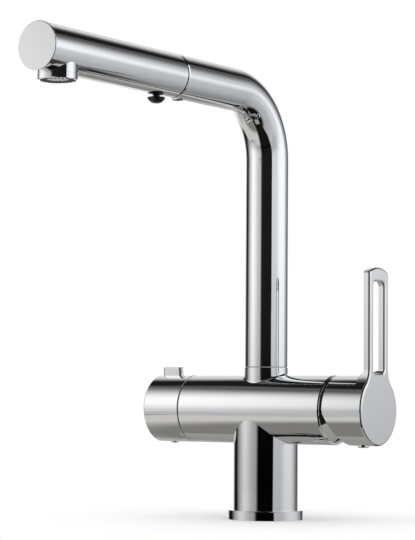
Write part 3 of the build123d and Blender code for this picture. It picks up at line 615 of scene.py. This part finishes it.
class TAP_OT_hose(bpy.types.Operator):
    """Braided pull-out hose along the spout's centre line"""

    bl_idname = "tap.hose"
    bl_label = "Pull-out hose"

    def execute(self, context):
        sizes = context.scene.tap_hose
        low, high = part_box("spray_hose")
        radius = (high.x - low.x) / 2
        draw = travel_of("spray_pull_out")
        riser = ARM_HEIGHT - BEND_RADIUS - low.z
        bend = BEND_RADIUS * pi / 2
        length = riser + bend + (-low.y - BEND_RADIUS)

        def route(run):
            """Point and outward side of the centre line at a run from the hose's lower end."""
            if run < riser:
                return Vector((0, 0, low.z + run)), Vector((0, 1, 0))
            angle = min(run - riser, bend) / BEND_RADIUS
            side = Vector((0, cos(angle), sin(angle)))
            middle = Vector((0, -BEND_RADIUS, ARM_HEIGHT - BEND_RADIUS))
            ahead = max(run - riser - bend, 0)
            return middle + side * BEND_RADIUS + Vector((0, -ahead, 0)), side

        def drawn(run):
            """Run of the same point once the spray is drawn out, so that the braid is even there."""
            share = (-route(run)[0].y - DRAW_START) / (DRAW_END - DRAW_START)
            share = min(max(share, 0), 1)
            return run + draw * share * share * (3 - 2 * share)

        runs = [0.0]
        fine = length / HOSE_STEPS
        mark = sizes.ring_step
        for step in range(1, HOSE_STEPS + 1):
            if drawn(step * fine) >= mark or step == HOSE_STEPS:
                runs.append(step * fine)
                mark = drawn(step * fine) + sizes.ring_step
        points, crowns, spots = [], [], []
        turn = Vector((1, 0, 0))
        for run in runs:
            centre, side = route(run)
            for at in range(sizes.ring_points):
                angle = tau * at / sizes.ring_points
                wind = tau * drawn(run) / sizes.lay
                right = cos((angle * sizes.strands + wind * sizes.strands) / 2) ** 2
                left = cos((angle * sizes.strands - wind * sizes.strands) / 2) ** 2
                crown = max(right, left) ** CROWN_POWER
                reach = radius - sizes.relief * (1 - crown)
                points.append(centre + (side * cos(angle) + turn * sin(angle)) * reach)
                crowns.append(crown)
                spots.append((at / sizes.ring_points, drawn(run) / (tau * radius)))
        material = woven_braid(context.scene.tap_finishes, sizes.strands)
        hose = mesh_piece("braided_hose", points, tube_faces(len(runs), sizes.ring_points), material)
        hose.data.attributes.new("crown", "FLOAT", "POINT").data.foreach_set("value", crowns)
        braid = hose.data.uv_layers.new(name="braid")
        for corner in hose.data.loops:
            braid.data[corner.index].uv = spots[corner.vertex_index]
        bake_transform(hose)
        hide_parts("spray_hose")
        return {"FINISHED"}


class TAP_OT_spring(bpy.types.Operator):
    """Wire spring over the button's plunger"""

    bl_idname = "tap.spring"
    bl_label = "Button spring"

    def execute(self, context):
        low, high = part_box("button_spring")
        reach = (high.x - low.x) / 2 - WIRE_RADIUS
        middle = (low + high) / 2
        bottom, top = low.z + WIRE_RADIUS, high.z - WIRE_RADIUS
        up = Vector((0, 0, 1))
        last = SPRING_TURNS * TURN_STEPS
        points = []
        for step in range(last + 1):
            angle = tau * step / TURN_STEPS
            out = Vector((cos(angle), sin(angle), 0))
            rise = bottom + (top - bottom) * step / last
            centre = Vector((middle.x, middle.y, rise)) + out * reach
            for at in range(WIRE_POINTS):
                round_wire = tau * at / WIRE_POINTS
                points.append(centre + (out * cos(round_wire) + up * sin(round_wire)) * WIRE_RADIUS)
        material = turned_metal("spring_wire", context.scene.tap_finishes.steel, WIRE_ROUGHNESS, "Z")
        spring = mesh_piece("wire_spring", points, tube_faces(last + 1, WIRE_POINTS), material)
        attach(spring, "spray_head")
        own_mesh(spring)
        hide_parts("button_spring")
        return {"FINISHED"}


# Studio


def glow_only(name):
    """A material and its tree, emptied for a glow alone."""
    material = bpy.data.materials.new(name)
    material.use_nodes = True
    material.cycles.emission_sampling = "NONE"
    material.node_tree.nodes.clear()
    return material, material.node_tree


def shine(tree, colour):
    """A glow of this colour as the tree's output."""
    glow = node(tree, "ShaderNodeEmission", {"Color": colour, "Strength": 1.0})
    output = node(tree, "ShaderNodeOutputMaterial")
    tree.links.new(glow.outputs["Emission"], output.inputs["Surface"])


def bearing(tree, axes):
    """Reach towards the camera's side, and the angle in degrees round from it, positive to the right."""
    ahead = reckon(tree, "MULTIPLY", axes["Y"], -1.0)
    return ahead, reckon(tree, "DEGREES", reckon(tree, "ARCTAN2", axes["X"], ahead))


def tent_light(studio):
    """Light of the tent round the tap, a glow seen only in the chrome that paints its reflections: a tall panel on
    each
     side, a white sweep behind, and a dark front and ceiling. Angles are in degrees, round from the camera's side
     and up from the horizon."""
    material, tree = glow_only("tent_light")
    way = node(tree, "ShaderNodeVectorMath", {0: spot_on(tree)}, operation="NORMALIZE").outputs["Vector"]
    axes = split(tree, way)
    ahead, around = bearing(tree, axes)
    rise = reckon(tree, "DEGREES", reckon(tree, "ARCSINE", axes["Z"]))
    ramp = ramps(tree)

    def height_on(heading):
        """Height on a flat panel with this heading, as a share of the panel's distance."""
        across = reckon(tree, "MULTIPLY", axes["X"], sin(radians(heading)))
        facing = reckon(tree, "ADD", across, reckon(tree, "MULTIPLY", ahead, cos(radians(heading))))
        return reckon(tree, "DIVIDE", axes["Z"], reckon(tree, "MAXIMUM", facing, LEAST_FACING))

    # Left panel: bright in its middle, darker to its foot, with a dim band over it
    height = height_on(LEFT_HEADING)
    edge = ramp(around, *FRONT_LEFT)
    inward = ramp(around, -40, -84, 0.44, 1.0)
    far_edge = ramp(around, -130, -76)
    foot = ramp(rise, -8, 14, 0.58, 1.0)
    top_edge = ramp(height, 1.35, 0.40)
    left = total(tree, "MULTIPLY", edge, inward, far_edge, foot, top_edge, studio.left_level)
    band_end = ramp(around, -122, -110)
    band_top = ramp(height, 1.85, 1.6)
    left_band = total(tree, "MULTIPLY", edge, band_end, band_top, LEFT_BAND)
    # Right panel: as the left one, cooler, and taller towards the camera
    height = height_on(RIGHT_HEADING)
    edge = ramp(around, *FRONT_RIGHT)
    inward = ramp(around, 46, 76, 0.64, 1.0)
    far_edge = ramp(around, 146, 92)
    foot = ramp(rise, -6, 8, 0.60, 1.0)
    top = ramp(around, 84, 108, 2.6, 0.92)
    full = ramp(around, 84, 108, 1.7, 0.10)
    top_edge = ramp(height, top, full)
    right = total(tree, "MULTIPLY", edge, inward, far_edge, foot, top_edge, studio.right_level)
    band_end = ramp(around, 138, 128)
    band_top = ramp(height, 1.15, 0.95)
    right_band = total(tree, "MULTIPLY", edge, band_end, band_top, RIGHT_BAND)
    # Sweep behind the tap, darker towards its top
    height = height_on(BACK_HEADING)
    side_edges = ramp(reckon(tree, "ABSOLUTE", around), 136, 172)
    upward = ramp(height, 0.1, 0.6, 1.0, 0.66)
    top_edge = ramp(height, 1.6, 0.8)
    back = total(tree, "MULTIPLY", side_edges, upward, top_edge, studio.back_level)
    # What is left is nearly black
    dark = ramp(rise, -3, 5, 0.001, 0.012)
    plain = total(tree, "ADD", left, left_band, right_band, back, dark)
    cool = scaled(tree, studio.right_tint, right)
    colour = node(tree, "ShaderNodeVectorMath", {0: plain, 1: cool}, operation="ADD").outputs["Vector"]
    shine(tree, colour)
    return material


def flag_dark():
    """Near-black glow of the flag, a painted dark reflection seen only in the chrome, with a faint mottle."""
    material, tree = glow_only("flag_dark")
    mottle = noise(tree, place(tree), scale=20)
    shine(tree, between(tree, mottle, low=0.008, high=0.014))
    return material


def dome(name, reach, start, end, foot, material):
    """Part of a sphere between two angles round from the camera's side, from a foot angle to its top."""
    points = []
    for row in range(DOME_ROWS + 1):
        rise = radians(foot + (90 - foot) * row / DOME_ROWS)
        for column in range(DOME_COLUMNS + 1):
            turn = radians(start + (end - start) * column / DOME_COLUMNS)
            points.append(Vector((sin(turn) * cos(rise), -cos(turn) * cos(rise), sin(rise))) * reach)
    width = DOME_COLUMNS + 1
    faces = [
        (low, low + 1, low + width + 1, low + width)
        for row in range(DOME_ROWS) for low in range(row * width, row * width + DOME_COLUMNS)
    ]
    return mesh_piece(name, points, faces, material)


def disc(name, radius, height, material):
    """A round flat card."""
    bpy.ops.mesh.primitive_circle_add(
        vertices=DISC_CORNERS, radius=radius, fill_type="NGON", location=(0, 0, height),
    )
    piece = bpy.context.object
    piece.name = name
    piece.data.materials.append(material)
    return piece


def ground_light(studio):
    """Ground as the chrome shows it, a glow seen only in reflections that paints them: a pale warm table, with the
     tap's shadow painted darker close to it, on grey ground that is black towards the front. Angles are in degrees
     round from the camera's side, lengths in metres."""
    material, tree = glow_only("ground_light")
    spot = spot_on(tree)
    axes = split(tree, spot)
    reach = length_of(tree, spot)
    turned = node(
        tree, "ShaderNodeVectorRotate", {"Vector": spot, "Angle": -studio.turn}, rotation_type="Z_AXIS",
    ).outputs["Vector"]
    around = bearing(tree, split(tree, turned))[1]
    ramp = ramps(tree)
    # Left of the dark front: pale, with the tap's shadow painted darker close to it, and darker behind it
    behind = ramp(axes["Y"], 0.05, 0.25)
    rightward = ramp(axes["X"], -0.30, -0.05, 0.28, 0.55)
    dim = total(tree, "MULTIPLY", behind, rightward, ramp(reach, 0.72, 0.50))
    edge = ramp(around, *FRONT_LEFT)
    outward = ramp(reach, 0.19, 0.33, 0.21, 0.60)
    left = total(tree, "MULTIPLY", edge, outward, rest_of(tree, dim))
    # Straight behind: grey far off
    straight = ramp(reckon(tree, "ABSOLUTE", around), 140, 165)
    far = total(tree, "MULTIPLY", behind, straight, ramp(reach, 0.50, 0.75), FAR_GROUND)
    # Right of the dark front: the tap's shadow painted dark close to it, and dimmer behind
    edge = ramp(around, *FRONT_RIGHT)
    close = ramp(reach, 0.27, 0.40)
    outward = ramp(reach, 0.4, 1.0, 0.52, 0.64)
    backward = ramp(around, 100, 135, 1.0, 0.55)
    right = total(tree, "MULTIPLY", edge, close, outward, backward)
    # Fine dark lines along the table: in front, far to the left, and on the right, behind the tap
    from_front = apart(tree, axes["Y"], TABLE_FRONT)
    leftward = ramp(axes["X"], -0.385, -0.405)
    front_line = total(tree, "MULTIPLY", ramp(from_front, 0.035, 0.010), leftward, FRONT_LINE)
    from_side = apart(tree, axes["X"], TABLE_SIDE)
    side_line = total(tree, "MULTIPLY", ramp(from_side, 0.012, 0.005), behind, SIDE_LINE)
    lines = reckon(tree, "MULTIPLY", rest_of(tree, front_line), rest_of(tree, side_line))
    shade = reckon(tree, "MULTIPLY", total(tree, "ADD", left, right, far, DARK_GROUND), lines)
    # The table is warm, and the ground beside it cooler and darker
    behind_edge = ramp(axes["Y"], TABLE_FRONT, TABLE_FRONT + TABLE_EDGE)
    right_part = ramp(axes["X"], -0.24, -0.18)
    inside = reckon(tree, "MAXIMUM", behind_edge, right_part)
    on_table = reckon(tree, "MULTIPLY", inside, ramp(around, 30, 20))
    warm = scaled(tree, studio.table, shade)
    plain = scaled(tree, studio.right_tint, reckon(tree, "MULTIPLY", shade, BESIDE_TABLE))
    # Sockets 4 and 5 are the two vectors to mix
    mixed = node(tree, "ShaderNodeMix", {0: on_table, 4: plain, 5: warm}, data_type="VECTOR").outputs[1]
    shine(tree, mixed)
    return material


def hub_card_light(studio):
    """Warm grey glow seen only in the chrome, a painted reflection, a little darker behind."""
    material, tree = glow_only("hub_card_light")
    along = split(tree, spot_on(tree))["Y"]
    shade = between(tree, along, low=0.34, high=0.31, start=0.0, end=0.03, smooth=True)
    shine(tree, scaled(tree, studio.table, shade))
    return material


def floor_finish(studio):
    """Pale floor that takes the tap's shadow and fades into the white round it."""
    material, tree, shader = new_finish("pale_floor")
    tinted(tree, shader, studio.floor, place(tree), scale=6, depth=0.01)
    shader.inputs["Roughness"].default_value = 0.9
    shader.inputs["Specular IOR Level"].default_value = 0.0
    outward = ramps(tree)(length_of(tree, spot_on(tree)), *FLOOR_FADE)
    under = node(tree, "ShaderNodeNewGeometry").outputs["Backfacing"]
    fade = reckon(tree, "MAXIMUM", outward, under)
    clear = node(tree, "ShaderNodeBsdfTransparent").outputs["BSDF"]
    mixed = node(tree, "ShaderNodeMixShader", {0: fade, 1: shader.outputs["BSDF"], 2: clear})
    tree.links.new(mixed.outputs["Shader"], tree.nodes["Material Output"].inputs["Surface"])
    return material


def white_world(studio):
    """White to the camera and in reflections, and an even fill for all else."""
    world = bpy.data.worlds.new("white_studio")
    world.use_nodes = True
    tree = world.node_tree
    path = node(tree, "ShaderNodeLightPath").outputs
    seen = reckon(tree, "MAXIMUM", path["Is Camera Ray"], path["Is Glossy Ray"])
    seen = reckon(tree, "MAXIMUM", seen, path["Is Transmission Ray"])
    tree.nodes["Background"].inputs["Color"].default_value = (1, 1, 1, 1)
    tree.links.new(between(tree, seen, studio.daylight, 1.0), tree.nodes["Background"].inputs["Strength"])
    return world


def soft_lamp(name, stand, power):
    """A square soft lamp that lights the matt pieces and the floor, unseen in the chrome."""
    lamp = bpy.data.lights.new(name, "AREA")
    lamp.shape = "SQUARE"
    lamp.size = LAMP_SIDE
    lamp.energy = power
    holder = bpy.data.objects.new(name, lamp)
    holder.location = stand
    holder.rotation_euler = (Vector(LAMP_AIM) - Vector(stand)).to_track_quat("-Z", "Y").to_euler()
    holder.visible_glossy = False
    bpy.context.scene.collection.objects.link(holder)


def front_camera(studio):
    """Camera at the photograph's viewing angle."""
    view = bpy.data.cameras.new("camera")
    view.lens = studio.lens
    view.sensor_width = SENSOR_SIDE
    camera = bpy.data.objects.new("camera", view)
    spot = Vector((sin(studio.azimuth), -cos(studio.azimuth), 0)) * studio.distance
    stand = Matrix.Translation(spot + Vector((0, 0, studio.height)))
    heading = Matrix.Rotation(studio.turn, 4, "Z") @ Matrix.Rotation(pi / 2 + studio.lift, 4, "X")
    camera.matrix_world = stand @ heading @ Matrix.Rotation(studio.roll, 4, "Z")
    bpy.context.scene.collection.objects.link(camera)
    return camera


class TAP_OT_studio(bpy.types.Operator):
    """Floor, light tent, lamps and camera"""

    bl_idname = "tap.studio"
    bl_label = "Studio"

    def execute(self, context):
        scene = context.scene
        studio = scene.tap_studio
        scene.view_settings.view_transform = "Standard"
        scene.world = white_world(studio)
        floor = disc("floor", FLOOR_RADIUS, 0, floor_finish(studio))
        floor.visible_glossy = False
        glow = tent_light(studio)
        tent = dome("light_tent", TENT_RADIUS, -180, 180, -90, glow)
        left_side = dome("left_side", LEFT_REACH, LEFT_START, LEFT_END, LEFT_FOOT, glow)
        for card in (tent, left_side):
            card.location = (0, 0, TENT_HEIGHT)
            card.rotation_euler = (0, 0, studio.turn)
        heading = Matrix.Rotation(studio.turn, 4, "Z")
        corners = [heading @ Vector((across, -FLAG_REACH, up)) for across, up in FLAG_CORNERS]
        flag = mesh_piece("dark_flag", corners, [(0, 1, 2, 3)], flag_dark())
        ground = disc("ground_card", GROUND_RADIUS, -GROUND_DROP, ground_light(studio))
        corners = [(x, y, HUB_CARD_HEIGHT) for x, y in HUB_CARD_BEHIND + HUB_CARD_UNDER]
        hub_card = mesh_piece("hub_card", corners, [(0, 1, 2, 3), (4, 5, 6, 7)], hub_card_light(studio))
        # Cards seen by glossy rays alone: glows that paint the chrome's reflections and light nothing
        for card in (tent, left_side, flag, ground, hub_card):
            for seen_by in ("camera", "diffuse", "transmission", "volume_scatter", "shadow"):
                setattr(card, f"visible_{seen_by}", False)
        soft_lamp("key_lamp", KEY_LAMP_AT, KEY_LAMP_POWER)
        soft_lamp("fill_lamp", FILL_LAMP_AT, FILL_LAMP_POWER)
        scene.camera = front_camera(studio)
        return {"FINISHED"}


class TAP_PT_panel(bpy.types.Panel):
    """Steps that finish the tap"""

    bl_idname = "TAP_PT_panel"
    bl_label = "Mixer tap"
    bl_space_type = "VIEW_3D"
    bl_region_type = "UI"
    bl_category = "Mixer tap"

    def draw(self, context):
        for step in steps:
            self.layout.operator(step.bl_idname)


groups = {"tap_finishes": TapFinishes, "tap_hose": TapHose, "tap_studio": TapStudio}
steps = (
    TAP_OT_chrome, TAP_OT_plastics, TAP_OT_rubbers, TAP_OT_inner_metals, TAP_OT_ceramics, TAP_OT_hose,
    TAP_OT_spring, TAP_OT_studio,
)


def register():
    for kind in (*groups.values(), *steps, TAP_PT_panel):
        bpy.utils.register_class(kind)
    for name, group in groups.items():
        setattr(bpy.types.Scene, name, PointerProperty(type=group))


def unregister():
    for name in groups:
        delattr(bpy.types.Scene, name)
    for kind in (TAP_PT_panel, *reversed(steps), *groups.values()):
        bpy.utils.unregister_class(kind)


def main():
    """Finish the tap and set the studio."""
    register()
    bpy.ops.tap.chrome()
    bpy.ops.tap.plastics()
    bpy.ops.tap.rubbers()
    bpy.ops.tap.inner_metals()
    bpy.ops.tap.ceramics()
    bpy.ops.tap.hose()
    bpy.ops.tap.spring()
    bpy.ops.tap.studio()


if __name__ == "__main__":
    main()
